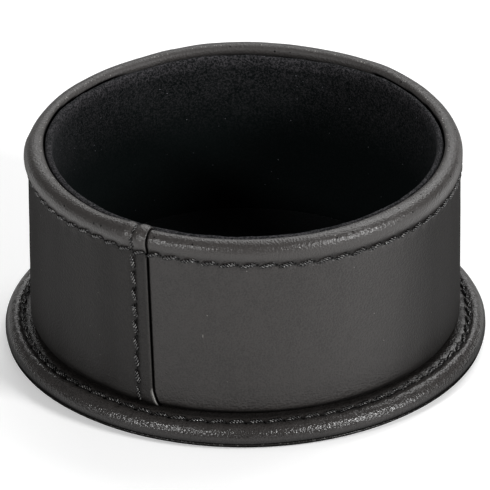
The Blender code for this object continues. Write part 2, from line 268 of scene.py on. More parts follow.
def leatherFinish(name, skin):
    look = leatherLook
    finish = Finish(name)
    place = finish.place()
    x, y, z = finish.parts(place)
    reach = (x * x + y * y) ** 0.5
    hole, worn, tone = [finish.attribute(kind) for kind in ("hole", "worn", "tone")]
    edge = finish.facing()

    # the grain, and creases straight out across the rolled edges
    pores = finish.cells(place, look["poreSize"])
    fine = finish.clouds(place, look["fineSize"], 3.0, 0.6)
    broad = finish.clouds(place, look["broadSize"], 3.0, 0.55)
    cloudy = finish.clouds(place, look["cloudSize"], 3.0, 0.6)
    waver = (finish.clouds(place, 1.8, 2.0) - 0.5) * look["creaseWaver"]
    around = [part / reach * look["creaseRound"] + waver for part in (x, y)]
    spokes = finish.whole(*around, reach * look["creaseLong"] + z * look["creaseLong"])
    crease = finish.clouds(spokes, look["creaseSize"], 2.5, 0.62)
    height = pores * look["poreHeight"] + fine * look["fineHeight"] + cloudy * look["cloudHeight"]
    height = height + crease * skin["creases"](reach, z) * skin["creaseHeight"]

    # the dye, paler on the grain's tops; the paler band towards the rim is a painted highlight
    mottle = broad * 0.25 + cloudy * 0.25 + fine * 0.8 + pores * 0.3 + z.zone(44.5, 46.5) * 0.16
    dark, pale = [tuple(skin["depth"] * part for part in look[key]) for key in ("colour", "pale")]
    colour = finish.tint(mottle.ramp(0.56, 0.94), dark, pale)
    # a painted highlight along the fold's edge, and a slightly paler edge under the base
    rubbedAndGlinting = worn * (fine.ramp(0.25, 0.6) * 0.5 + 0.5)
    colour = finish.tint(rubbedAndGlinting.lowest(1.0), colour, look["worn"])

    # specks along the rim's top and the low seam: painted glints on leather scuffed by rubbing over the
    # board's edge; lint, and open pores on the rim
    glintSpecks = finish.cells(place, 0.5).ramp(0.34, 0.16) * (finish.clouds(place, 2.5) > 0.5)
    colour = finish.tint(glintSpecks * skin["rubbedAndGlinting"](reach, z), colour, look["lint"])
    lint = finish.specks(place, 2.2, 0.15, 0.17) * 0.8
    drawn = finish.stretch(place, (1.0, 1.0, 0.20), (0.3, 0.1, 0.0))
    lint = lint.highest(finish.specks(drawn, 2.4, 0.11, 0.12) * 0.7)
    colour = finish.tint(lint, colour, look["lint"])
    dots = finish.specks(place, 1.7, 0.30, 0.26) * z.zone(47.0, 48.5) * 0.8
    colour = finish.tint(hole.highest(dots), colour, look["hole"])

    # the gloss: duller at a glance and where the rim turns in, brighter on the rim
    rough = skin["gloss"] + (broad - 0.5) * 0.10 + (cloudy - 0.5) * 0.08 - worn * 0.05
    rough = rough + edge.ramp(0.5, 0.95) * 0.35
    rough = rough - z.zone(44.5, 46.5) * 0.07
    rough = rough + z.zone(46.5, 48.0) * reach.zone(47.0, 45.7) * 0.22
    finish.set(Base_Color=colour, Roughness=rough, Normal=finish.raised(height))

    # painted shade: the upright faces, the roll's flank and the strip of the base beside the wall are mixed
    # towards black, most where they turn from the eye and more near the strip's folded end
    turned = edge.ramp(0.23, 0.60)
    paintedShade = skin["paintedShade"](reach, z) * (turned * 0.53 + tone * (0.34 - turned * 0.20) + 0.15)
    # painted shade on the roll's lower flank
    under = z.zone(3.2, 2.2) * 0.28 + z.zone(1.9, 1.3) * 0.35
    finish.darken(hole.highest(dots).highest(paintedShade + under * reach.zone(52.0, 53.2)))
    return finish.material


# Where a skin is creased, gets painted glints, or is given painted shade: shares of 0 to 1 by reach and
# height
def rimCreases(reach, z):
    inner = z.zone(47.8, 49.2) * reach.zone(47.8, 46.2)
    return inner * 0.8 + z.zone(44.0, 46.2) * 0.25


def rollCreases(reach, z):
    return reach.zone(51.0, 52.6) * z.zone(1.2, 2.6)


def rimLine(reach, z):
    return reach.zone(45.8, 46.0) * reach.zone(46.5, 46.3) * z.zone(48.5, 49.0)


def seamLine(reach, z):
    return z.zone(1.1, 1.4) * z.zone(2.1, 1.8)


def wallFace(reach, z):
    # painted shade on the upright wall below the rim
    return z.zone(47.0, 44.0)


def rollFace(reach, z):
    # painted shade on the roll's flank, and a painted contact shadow on the strip of the top beside the
    # wall
    flank = z.zone(5.0, 3.8) * reach.zone(51.5, 53.0)
    return flank + reach.zone(51.0, 49.8) * z.zone(4.5, 5.2) * 0.75


wallSkin = {
    "gloss": 0.43, "depth": 0.70, "creases": rimCreases, "creaseHeight": 0.08, "rubbedAndGlinting": rimLine,
    "paintedShade": wallFace,
}
baseSkin = {
    "gloss": 0.25, "depth": 0.62, "creases": rollCreases, "creaseHeight": 0.13, "rubbedAndGlinting": seamLine,
    "paintedShade": rollFace,
}
wallLeather = leatherFinish("wall leather", wallSkin)
baseLeather = leatherFinish("base leather", baseSkin)
print("finishes: leather")


# Waxed thread of three plies, drawn by how far along, across and up each stitch a place lies
threadLook = {
    # the crowns' greys are painted highlights on a black thread, and the shade is painted in the valleys
    # between plies
    "colour": (0.165, 0.160, 0.155),
    "dimCrown": (0.022, 0.021, 0.021),
    "shade": (0.0020, 0.0020, 0.0020),
    "gloss": 0.25,
    "pitch": 0.74,
    "plies": 3,
    "plyHeight": 0.16,
    "fibreHeight": 0.02,
}


def threadFinish():
    look = threadLook
    finish = Finish("waxed thread")
    place = finish.place()
    along, across, up = [finish.attribute(kind) for kind in ("along", "across", "up")]
    around = up.sum("ARCTAN2", up, across)
    lay = along * (turn / look["pitch"]) - around * look["plies"]
    ply = (lay.sum("SINE", lay) * 0.5 + 0.5) ** 0.7
    fibre = finish.clouds(place, 0.10, 3.0, 0.6)
    wax = finish.clouds(place, 0.9, 2.0, 0.5)
    # patches where the crowns get less painted highlight
    lit = finish.clouds(place, 0.55, 1.0).ramp(0.48, 0.68)
    colour = finish.tint(lit, look["dimCrown"], look["colour"])
    colour = finish.tint(ply.ramp(0.3, 0.9), look["shade"], colour)
    height = ply * look["plyHeight"] + fibre * look["fibreHeight"]
    finish.set(Base_Color=colour, Roughness=look["gloss"] + (wax - 0.5) * 0.3, Normal=finish.raised(height))
    # painted shade in the valleys between plies and towards the thread's outline
    edge = finish.facing()
    finish.darken((ply.ramp(0.40, 0.05) * 0.7).highest(edge.ramp(0.40, 0.85) * 0.75))
    return finish.material


velvetLook = {
    "deep": (0.0010, 0.0022, 0.0022),
    "light": (0.0560, 0.0530, 0.0570),
    "lint": (0.20, 0.20, 0.22),
    "tuftHeight": 0.10,
    "napHeight": 0.25,
    "sheen": (0.75, 0.85, 0.9, 1),
}


def velvetFinish():
    look = velvetLook
    finish = Finish("cotton velvet")
    place = finish.place()
    z = finish.parts(place)[2]
    worn = finish.attribute("worn")
    nap = finish.clouds(place, 5.0, 4.0, 0.6)
    tufts = finish.clouds(place, 0.42, 2.0, 0.7)
    fuzz = finish.clouds(place, 0.9, 3.0, 0.7)
    # darker low in the cup as painted shade and paler towards the top as painted light; paler again at its
    # folded edge, where the pile is open, partly a painted highlight
    share = nap.ramp(0.35, 0.75) * 0.10 + fuzz.ramp(0.40, 0.75) * 0.22 + tufts.ramp(0.42, 0.68) * 0.60
    share = share * z.zone(26, 49, 0.04, 0.72) + worn * (0.10 + tufts.ramp(0.40, 0.60) * 0.6)
    colour = finish.tint(share.lowest(1.0), look["deep"], look["light"])
    lint = finish.specks(place, 1.5, 0.13, 0.20).highest(finish.specks(place, 2.6, 0.20, 0.06) * 0.8)
    # the lint is dimmer lower down, painted shade
    colour = finish.tint(lint * z.zone(15, 46, 0.25, 0.9), colour, look["lint"])
    height = tufts * look["tuftHeight"] + nap * look["napHeight"]
    finish.set(Base_Color=colour, Roughness=0.95, Normal=finish.raised(height))
    finish.set(Specular_IOR_Level=0.06, Sheen_Weight=0.02, Sheen_Roughness=0.45, Sheen_Tint=look["sheen"])
    return finish.material


def boardFinish(name, colour, fleck):
    finish = Finish(name)
    place = finish.place()
    pulp = finish.clouds(finish.stretch(place, (1, 1, 3)), 1.4, 4.0, 0.65)
    bits = finish.cells(finish.stretch(place, (1, 1, 0.4)), 0.8)
    shade = finish.tint(pulp.ramp(0.35, 0.7), colour, fleck)
    shade = finish.tint(bits.ramp(0.16, 0.08) * 0.5, shade, tuple(0.5 * part for part in colour))
    finish.set(Base_Color=shade, Roughness=0.85 + (pulp - 0.5) * 0.2)
    finish.set(Normal=finish.raised(pulp * 0.05 + bits * 0.02))
    return finish.material


def feltFinish():
    finish = Finish("wool felt")
    place = finish.place()
    tangle = finish.clouds(finish.stretch(place, (1, 1, 0.5)), 0.5, 5.0, 0.75)
    shade = finish.tint(tangle.ramp(0.3, 0.7), (0.24, 0.235, 0.22), (0.40, 0.39, 0.37))
    finish.set(Base_Color=shade, Roughness=0.95, Normal=finish.raised(tangle * 0.3))
    finish.set(Specular_IOR_Level=0.15, Sheen_Weight=0.2)
    return finish.material


thread = threadFinish()
velvet = velvetFinish()
greyBoard = boardFinish("grey board", (0.26, 0.245, 0.22), (0.36, 0.34, 0.31))
kraftCard = boardFinish("kraft card", (0.27, 0.19, 0.12), (0.37, 0.28, 0.19))
felt = feltFinish()
print("finishes: thread, velvet, board, card, felt")


# The parts that stay from the frame get their own finish
for node, material in (
    ("wall_core_tube", greyBoard),
    ("base_board", greyBoard),
    ("lining_card_tube", kraftCard),
    ("floor_card", kraftCard),
    ("base_edge_filler", felt),
):
    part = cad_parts[node]
    part.data.materials.clear()
    part.data.materials.append(material)


# Making pieces
mergeDistance = 0.01 * mm


def clearSelection():
    if bpy.context.object and bpy.context.object.mode != "OBJECT":
        bpy.ops.object.mode_set(mode="OBJECT")
    bpy.ops.object.select_all(action="DESELECT")


def choose(piece):
    clearSelection()
    piece.select_set(True)
    bpy.context.view_layer.objects.active = piece


def drawRings(name, outline, count, closeMiddle=False):
    # a circle, extruded ring by ring along an outline of (reach, height) in mm
    clearSelection()
    reach, height = outline[0]
    bpy.ops.mesh.primitive_circle_add(vertices=count, radius=reach * mm, location=(0, 0, height * mm))
    piece = bpy.context.object
    piece.name = name
    piece.data.name = name
    bpy.ops.object.transform_apply(location=True)
    bpy.ops.object.mode_set(mode="EDIT")
    bpy.ops.mesh.select_mode(type="EDGE")
    bpy.ops.mesh.select_all(action="SELECT")
    for newReach, newHeight in outline[1:]:
        rise = (0, 0, (newHeight - height) * mm)
        bpy.ops.mesh.extrude_region_move(TRANSFORM_OT_translate={"value": rise})
        size = newReach / reach
        bpy.ops.transform.resize(value=(size, size, 1), center_override=(0, 0, newHeight * mm))
        reach, height = newReach, newHeight
    if closeMiddle:
        bpy.ops.mesh.extrude_region()
        bpy.ops.mesh.merge(type="CENTER")
    bpy.ops.mesh.select_all(action="SELECT")
    bpy.ops.mesh.remove_doubles(threshold=mergeDistance)
    bpy.ops.mesh.normals_make_consistent(inside=False)
    bpy.ops.object.mode_set(mode="OBJECT")
    return piece


def turnOver(piece):
    choose(piece)
    bpy.ops.object.mode_set(mode="EDIT")
    bpy.ops.mesh.select_all(action="SELECT")
    bpy.ops.mesh.flip_normals()
    bpy.ops.object.mode_set(mode="OBJECT")


def faceMiddle(piece, way):
    # a disc's middle has to face up (way 1) or down (way -1)
    middle = min(piece.data.polygons, key=lambda face: face.center.xy.length)
    if middle.normal.z * way < 0:
        turnOver(piece)


def thicken(piece, thickness):
    choose(piece)
    skin = piece.modifiers.new("thickness", "SOLIDIFY")
    skin.thickness = thickness * mm
    skin.offset = -1
    bpy.ops.object.modifier_apply(modifier=skin.name)


def mark(piece, **layers):
    for name, values in layers.items():
        layer = piece.data.attributes.new(name, "FLOAT", "POINT")
        layer.data.foreach_set("value", values)


def finishPiece(piece, material, node):
    choose(piece)
    piece.data.materials.clear()
    piece.data.materials.append(material)
    bpy.ops.object.shade_smooth()
    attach(piece, "root")
    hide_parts(node)
    print("piece:", piece.name, len(piece.data.polygons), "faces")


# Rows of stitches: the thread, where its holes are, and how the leather gives round them
stitch = {
    "rise": 0.85,  # each stitch climbs this much from its low end to its high end
    "slit": 0.72,  # how far the slanted hole reaches along the row
    "groove": 0.10,  # depth and width of the row's groove
    "grooveWidth": 1.3,
    "bite": 0.06,  # of the thread's own bed in it
    "biteWidth": 0.55,
    "dimple": 0.30,  # and of the dimple at each hole
    "dimpleWidth": 0.36,
    "holeWidth": 0.24,
    "swell": 0.10,  # the leather swells beside a row, between its holes
    "swellPlace": 1.5,
    "swellWidth": 0.8,
    "reach": 3.2,  # a row changes the leather this far to each side
    "uneven": 0.045,
    "width": 0.52,  # half of the thread's width
    "tipWidth": 0.55,  # its ends are thinner by this share
    "flat": 0.80,  # it is pressed flatter than round
    "dive": 0.60,  # its ends go down into their holes
    "inset": 0.08,  # the ends stay this far inside their slits
    "proud": 0.05,  # its middle line above the leather's face
    "rings": 8,
    "start": 0.2,
}
stitchHalf = stitch["slit"] / 2 - stitch["inset"]
stitchTall = stitch["rise"] / 2


def spread(start, length, count, wave, seed):
    # hole places, a little wider apart at the front and never quite even
    chance = random.Random(seed)
    gaps = []
    for index in range(count):
        angle = foldAngle + (start + length * (index + 0.5) / count) / wallRadius
        uneven = chance.uniform(-stitch["uneven"], stitch["uneven"])
        gaps.append(1 + wave * math.cos(angle) + uneven)
    places = [start]
    for gap in gaps:
        places.append(places[-1] + gap * length / sum(gaps))
    return places


def rowDent(along, across, holes):
    # how deep the leather is drawn in near a row, and how much shade is painted in its holes
    index = 0
    while index < len(holes) - 2 and holes[index + 1] <= along:
        index += 1
    first, last = holes[index], holes[index + 1]
    share = min(max((along - first) / (last - first), 0), 1)
    line = stitch["rise"] * (share - 0.5)
    half = stitch["slit"] / 2
    slits = [((hole - half, stitchTall), (hole + half, -stitchTall)) for hole in (first, last)]
    near = min(away(across, along, low, high) for low, high in slits)
    beside = min(along - first, last - along)
    dent = stitch["groove"] * bell(across, stitch["grooveWidth"])
    dent += stitch["bite"] * bell(across - line, stitch["biteWidth"])
    dent += stitch["dimple"] * bell(near, stitch["dimpleWidth"])
    swell = bell(abs(across) - stitch["swellPlace"], stitch["swellWidth"])
    dent -= stitch["swell"] * swell * (1 - bell(beside, stitch["grooveWidth"]))
    return dent, min(1.0, 1.2 * bell(near, stitch["holeWidth"]))


# The wall's leather, one strip that starts under its own folded end. A place on it has a run, in mm
# round the wall from the fold, and a rail, in mm up its outline from the hem under the foot
leather = {
    "thickness": 0.4,
    "foot": 0.3,  # the strip stands this far above the base
    "footHem": 1.5,
    "footRound": 1.8,
    "rimWidth": 3.9,
    "rimRound": 2.3,
    "innerRound": 1.2,
    "turnDepth": 8.0,
    "rowDrop": 5.2,
    "rimHoles": 73,
    "rimStart": 3.1,
    "rimWave": 0.065,
    "rimSeed": 3,
    "seamInset": 3.6,
    "seamHoles": 9,
    "seamStart": 0.6,
    "lapRise": 0.48,
    "lapFrom": 15.0,
    "lapTo": 6.0,
    "tongueReach": 8.0,
    "tongueSink": 0.40,
    "gap": 0.20,
    "foldRound": 0.24,
    "foldSink": 0.42,
    "foldShade": 0.8,
    "strapPuff": 0.10,
    "strapMore": 2.4,  # the strap is this much fuller on the rim
    "gather": 0.20,
    "gatherPlace": 1.9,
    "gatherWidth": 1.2,
    "rimPuff": 0.42,
    "puffRise": 2.6,
    "rimTie": 0.34,
    "overRim": (0.5, 4.0, 7.4, 10.4),  # the ends of the stitches over the rim, beyond its row
    "swell": 0.05,
    "flutter": 0.018,
    "lean": 1.5,
    "leanReach": 30.0,
    "curl": 1.0,
    "curlHeight": 4.2,
    "curlWidth": 2.6,
    "rowWander": (
        (-180, 0), (-110, -0.1), (-60, 0.0), (-42, 0.6), (-20, 0.5), (0, 0.0), (20, -0.5), (60, -0.6),
        (120, -0.3), (180, 0),
    ),
    "rimThin": (
        (-180, -0.1), (-150, 0.1), (-115, 0.5), (-85, 0.1), (-45, 0.4), (15, 0.3), (42, -0.2), (90, 0),
        (180, -0.1),
    ),
    "rimRise": (
        (-180, 0.48), (-170, 0.46), (-160, 0.20), (-150, -0.22), (-130, -0.24), (-107, -0.10),
        (-85, 0.05), (0, 0.08), (90, -0.05), (102, -0.1), (114, 0.15), (125, 0.42), (137, 0.62),
        (147, 0.42), (158, 0.24), (170, 0.34), (180, 0.48),
    ),
    "bulge": (
        (-180, 0), (-125, 0.0), (-112, -0.20), (-101, 0.0), (-91, 0.55), (-78, 0.62), (-62, 0.12),
        (-50, 0.0), (180, 0),
    ),
}

rowHeight = rimHeight - leather["rowDrop"]
seamInset = leather["seamInset"]
seamPlace = wallRound - seamInset
quarter = turn / 4

footHem, footRound = leather["footHem"], leather["footRound"]
footHeight = baseTop + leather["foot"]
wallFoot = footHeight + footRound
rimRound, innerRound = leather["rimRound"], leather["innerRound"]
rimFlat = leather["rimWidth"] - rimRound - innerRound
innerReach = wallRadius - leather["rimWidth"]
innerDepth = leather["turnDepth"] - innerRound

# the strip's outline from the hem up and over the rim: the length of each stretch, and then
# a line's start and its way, or an arc's middle, its radius and its first angle
stretches = (
    ("line", footHem, (wallRadius - footRound - footHem, footHeight), (1, 0)),
    ("arc", footRound * quarter, (wallRadius - footRound, wallFoot), (footRound, -quarter)),
    ("line", rimHeight - rimRound - wallFoot, (wallRadius, wallFoot), (0, 1)),
    ("arc", rimRound * quarter, (wallRadius - rimRound, rimHeight - rimRound), (rimRound, 0)),
    ("line", rimFlat, (wallRadius - rimRound, rimHeight), (-1, 0)),
    ("arc", innerRound * quarter, (innerReach + innerRound, rimHeight - innerRound), (innerRound, quarter)),
    ("line", innerDepth, (innerReach, rimHeight - innerRound), (0, -1)),
)
_, footEnd, wallEnd, arcEnd, topEnd, innerEnd, lastEnd = accumulate(part[1] for part in stretches)
rowRail = footEnd + rowHeight - wallFoot


def railAt(rail):
    # reach and height of a place on the outline, and which way is out there
    for kind, size, point, way in stretches:
        if rail <= size or way == (0, -1):
            break
        rail -= size
    if kind == "arc":
        radius, start = way
        angle = start + rail / radius
        out = (math.cos(angle), math.sin(angle))
        return point[0] + radius * out[0], point[1] + radius * out[1], out[0], out[1]
    return point[0] + way[0] * rail, point[1] + way[1] * rail, way[1], -way[0]


stripRows = steps(0, footHem, 2) + steps(footHem, footEnd, 5) + steps(footEnd, rowRail - 1.6, 34)
stripRows += steps(rowRail - 1.6, rowRail + 2.0, 12) + steps(rowRail + 2.0, wallEnd, 3)
stripRows += steps(wallEnd, arcEnd, 7) + steps(arcEnd, topEnd, 2) + steps(topEnd, innerEnd, 7)
stripRows += steps(innerEnd, lastEnd, 5) + [lastEnd]

rimStart = leather["rimStart"]
rimHoles = [-seamInset, -0.4]
rimHoles += spread(
    rimStart, seamPlace - rimStart, leather["rimHoles"], leather["rimWave"], leather["rimSeed"])
seamFoot = footHeight + leather["seamStart"]
seamHoles = steps(seamFoot, rowHeight, leather["seamHoles"]) + [rowHeight]
seamDown = [rowHeight + seamFoot - height for height in reversed(seamHoles)]

# columns, close together at the gap beside the fold
gapColumns = (0.0, 0.1, 0.16, 0.2, 0.26, 0.33, 0.42, 0.54, 0.7, 0.9, 1.2, 1.6, 2.1, 2.6)
lapColumn = 0.42


def stripColumns():
    # each column's run, and on the fold its angle: up to 90 round it, 91 and 92 behind it
    runs = steps(-leather["tongueReach"], 0, 6)
    runs += gapColumns
    for first, last in zip(rimHoles[2:-4], rimHoles[3:-3]):
        runs += steps(first, last, 6)
    start = rimHoles[-4]
    end = wallRound - leather["foldRound"]
    runs += steps(start, end, int((end - start) / lapColumn))
    return [(run, 0) for run in runs] + [(end, angle) for angle in (*range(0, 91, 15), 91, 92)]


def rowShift(run):
    return wander(foldAngle + run / wallRadius, leather["rowWander"])


def stripLift(run, height, rail, sewn=True):
    # how far the leather stands off its outline, with or without its stitches
    lap = wallRound - run
    lift = leather["lapRise"] * ease(-lap, -leather["lapFrom"], -leather["lapTo"])
    over = ease(rail, rowRail, wallEnd + 1.0)
    inside = ease(innerEnd - rail, -2, 0.5)
    row = rail - rowRail - rowShift(run)
    # the strap between the seam's row and the fold
    if lap < seamInset:
        strap = math.sin(math.pi * min(lap / seamInset, 1.0)) ** 0.8
        lift += leather["strapPuff"] * strap * (1 + leather["strapMore"] * over) * inside
    # gathered a little on the row's other side, over the rim
    over *= inside
    beyond = bell(lap - seamInset - leather["gatherPlace"], leather["gatherWidth"])
    lift += leather["gather"] * over * beyond * (1 + ripple(run, rail, 0, 1.3, 5.5))
    # a soft swell between the rim's row and the rim
    puff = leather["rimPuff"] + wander(foldAngle + run / wallRadius, leather["bulge"])
    rise = leather["puffRise"]
    lift += puff * ease(row, 0, rise) * (1 - ease(row, rise, topEnd - rowRail))
    lift += leather["swell"] * ripple(run, height, 0, 7.0, 3.1)
    lift += leather["flutter"] * ripple(run, height, 0, 3.0, 1.7)
    hole = 0.0
    if not sewn:
        return lift, hole
    if abs(row) < stitch["reach"]:
        along = run if run < seamPlace else run - wallRound
        dent, hole = rowDent(along, row, rimHoles)
        lift -= dent
    inset = seamInset - lap
    if abs(inset) < stitch["reach"] and row < 0.9:
        below = rowHeight - height
        dent, dark = rowDent(below + seamFoot, -inset, seamDown)
        lift -= dent * ease(below, -0.6, 0.4)
        hole = max(hole, dark * ease(below, -0.6, 0.2))
    elif abs(inset) < stitch["reach"]:
        # drawn in by the stitches that go on over the rim
        lift -= leather["rimTie"] * bell(inset, 0.6) * ease(innerEnd + 2 - rail, 0, 1.5)
    return lift, hole


def bend(run, height):
    # the seam leans a little, and its lower corner curls to the right
    far = min(abs(run), abs(wallRound - run))
    middle = (footHeight + rimHeight) / 2
    tall = rimHeight - footHeight
    side = leather["lean"] * max(0, 1 - far / leather["leanReach"]) * (middle - height) / tall
    low = ease(-height, -(footHeight + leather["curlHeight"]), -footHeight)
    return side + leather["curl"] * low * bell(far, leather["curlWidth"])


def wallPoint(run, rail, lift):
    reach, height, outward, upward = railAt(rail)
    angle = foldAngle + (run + bend(run, height)) / wallRadius
    reach += wander(angle, leather["rimThin"]) * ease(rail, arcEnd - 0.8, topEnd)
    height += wander(angle, leather["rimRise"]) * ease(rail, rowRail + 0.4, wallEnd)
    return roundPlace(reach + outward * lift, angle, height + upward * lift)


# The lining's velvet, a tube folded over its card's top edge
lining = {
    "reach": 43.55,
    "outer": 45.06,
    "proud": 0.80,
    "steps": 360,
    "thickness": 0.3,
    "rings": (8.0, 8.6, 10, 13, 17, 21, 25, 29, 33, 36, 39, 41.5, 43.5, 45, 46, 46.9),
    "backRings": (1.3, 2.2),
    "uneven": 0.12,
    "ruffle": 0.06,
    "edgeUneven": 0.16,
    "edgeRuffle": 0.10,
    "follow": 0.95,  # how closely its edge follows the rim's leather
    "drop": (
        (-180, 1.30), (-165, 1.10), (-130, 0.70), (-108, 0.15), (-95, 0), (100, 0), (130, 0.6),
        (150, 1.1), (168, 1.45), (180, 1.30),
    ),
}


def velvetEdge(angle):
    # how high the lining's folded edge comes
    proud = lining["proud"] + wander(angle, leather["rimRise"])
    return liningTop + proud - wander(angle, lining["drop"])


def makeWallLeather():
    columns = stripColumns()
    across, up = len(columns), len(stripRows)
    clearSelection()
    bpy.ops.mesh.primitive_grid_add(x_subdivisions=across - 1, y_subdivisions=up - 1, size=1.0)
    piece = bpy.context.object
    piece.name = "wall_leather"
    holes, wearAndHighlights, tones = [], [], []
    foldSize, gap = leather["foldRound"], leather["gap"]
    for vertex in piece.data.vertices:
        run, angle = columns[round((vertex.co.x + 0.5) * (across - 1))]
        rail = stripRows[round((vertex.co.y + 0.5) * (up - 1))]
        height = railAt(rail)[1]
        lift, hole = stripLift(run, height, rail)
        if run < 2:
            # the end under the fold lies lower, and comes up beyond the gap, which is painted black as
            # shade
            share = 1 - 0.85 * ease(rail, rowRail, wallEnd)
            rise = ease(run, gap - 0.1, gap + 0.4) ** 0.5
            lift = lift * rise - leather["tongueSink"] * share * (1 - rise)
            hole = max(hole, share * (1 - ease(run, gap - 0.05, gap + 0.06)))
        if angle > 90:
            behind = angle - 90
            run += foldSize - 0.03 * behind
            lift = lift - foldSize if behind == 1 else -leather["foldSink"]
            hole = leather["foldShade"]
        elif angle > 0:
            run += foldSize * math.sin(math.radians(angle))
            lift -= foldSize * (1 - math.cos(math.radians(angle)))
        vertex.co = wallPoint(run, rail, lift)
        lap = wallRound - run
        if rail > topEnd:
            # no light reaches the gap between this leather and the velvet
            edge = velvetEdge(foldAngle + run / wallRadius)
            hole = max(hole, ease(edge + 0.16 - vertex.co.z / mm, 0, 0.12))
        # the fold's edge gets a painted highlight, most of all at its lower corner
        worn = 0.12 * bell(lap - 0.20, 0.10) * ease(wallEnd + 2 - rail, 0, 2.5)
        worn += bell(lap - 0.12, 0.15) * ease(10.6 - height, 0, 0.8) * ease(height, 6.2, 7.0)
        holes.append(hole)
        wearAndHighlights.append(min(worn, 1.0) * (1 - hole))
        # painted shade: the strip's end left of the fold is darker, fading out 9 to 33 mm from the fold
        tones.append(1 - ease(lap, 9, 33))
    mark(piece, hole=holes, worn=wearAndHighlights, tone=tones)
    thicken(piece, leather["thickness"])
    finishPiece(piece, wallLeather, "wall_cover")


makeWallLeather()


# One stitch of thread, modelled along x with its ends turned down into their holes
def makeStitch():
    count = stitch["rings"]
    size = stitch["start"]
    clearSelection()
    bpy.ops.mesh.primitive_circle_add(
        vertices=6, radius=size * mm, fill_type="NGON", rotation=(0, quarter, 0))
    piece = bpy.context.object
    piece.name = "stitch"
    bpy.ops.object.transform_apply(location=True, rotation=True)
    bpy.ops.object.mode_set(mode="EDIT")
    bpy.ops.mesh.select_all(action="SELECT")
    for ring in range(count):
        new = stitch["width"] * (stitch["tipWidth"] if ring in (0, count - 1) else 1.0)
        bpy.ops.mesh.extrude_region_move(TRANSFORM_OT_translate={"value": (mm, 0, 0)})
        bpy.ops.transform.resize(value=(1, new / size, new / size))
        size = new
    bpy.ops.mesh.select_all(action="SELECT")
    bpy.ops.mesh.normals_make_consistent(inside=False)
    bpy.ops.object.mode_set(mode="OBJECT")
    across, up = [], []
    for vertex in piece.data.vertices:
        way = Vector((vertex.co.y, vertex.co.z)).normalized()
        across.append(way.x)
        up.append(way.y)
        share = round(vertex.co.x / mm) / count
        drop = (2 * share - 1) ** 6
        vertex.co.x = share
        vertex.co.z = vertex.co.z * stitch["flat"] - stitch["dive"] * mm * drop
    mark(piece, across=across, up=up, along=[0.0] * len(across))
    clearSelection()
    return piece


def sewRow(name, master, ends, node):
    # ends holds, for each stitch, its two ends and the way that is out
    copies = []
    chance = random.Random(len(ends))
    for start, end, out in ends:
        along = end - start
        length = along.length
        forward = along.normalized()
        outward = (out - forward * out.dot(forward)).normalized()
        side = outward.cross(forward)
        thick = chance.uniform(0.92, 1.06)
        copy = master.copy()
        copy.data = master.data.copy()
        bpy.context.collection.objects.link(copy)
        phase = chance.uniform(0, 1)
        lengths = []
        for vertex in copy.data.vertices:
            x, y, z = vertex.co
            vertex.co = start + forward * (x * length) + side * y * thick + outward * z * thick
            lengths.append(phase + x * length / mm)
        copy.data.attributes["along"].data.foreach_set("value", lengths)
        copies.append(copy)
    clearSelection()
    for copy in copies:
        copy.select_set(True)
    bpy.context.view_layer.objects.active = copies[0]
    bpy.ops.object.join()
    row = bpy.context.object
    row.name = name
    row.data.name = name
    finishPiece(row, thread, node)


def wallStitch(places):
    # a stitch between two places on the wall, and the way out from the cup's axis at its middle
    points = []
    for run, height, rail in places:
        lift, _ = stripLift(min(run, wallRound - 0.3), height, rail, sewn=False)
        points.append(wallPoint(run, rail, lift + stitch["proud"]))
    middle = (points[0] + points[1]) / 2
    return *points, Vector((middle.x, middle.y, 0)).normalized()


def rimEnds():
    ends = []
    for first, last in zip(rimHoles, rimHoles[1:]):
        places = []
        for run, side in ((first + stitchHalf, -stitchTall), (last - stitchHalf, stitchTall)):
            run = run if run >= leather["gap"] else run + wallRound
            side += rowShift(run)
            places.append((run, rowHeight + side, rowRail + side))
        ends.append(wallStitch(places))
    return ends


def seamEnds():
    ends = []
    for upper, lower in zip(reversed(seamHoles[1:]), reversed(seamHoles[:-1])):
        places = []
        for height, side in ((upper - stitchHalf, -stitchTall), (lower + stitchHalf, stitchTall)):
            places.append((seamPlace + side * 0.95, height, footEnd + height - wallFoot))
        ends.append(wallStitch(places))
    return ends


def rimSeamEnds():
    # the seam's row goes on over the rim and a little way down the inside
    ends = []
    angle = foldAngle - seamInset / wallRadius
    rails = [rowRail + beyond for beyond in leather["overRim"]]
    for first, last in zip(rails, rails[1:]):
        points, outs = [], []
        for rail, side in ((first + 0.3, 0.2), (last - 0.3, -0.2)):
            height, outward, upward = railAt(rail)[1:]
            lift, _ = stripLift(seamPlace + side, height, rail, sewn=False)
            points.append(wallPoint(seamPlace + side, rail, lift - 0.10))
            outs.append(roundPlace(outward, angle, upward))
        ends.append((points[0], points[1], (outs[0] + outs[1]).normalized()))
    return ends


stitchMaster = makeStitch()
sewRow("rim_stitch_row", stitchMaster, rimEnds(), "rim_stitching")
sewRow("seam_stitch_row", stitchMaster, seamEnds(), "seam_stitching")
sewRow("rim_seam_stitches", stitchMaster, rimSeamEnds(), "rim_seam_stitching")


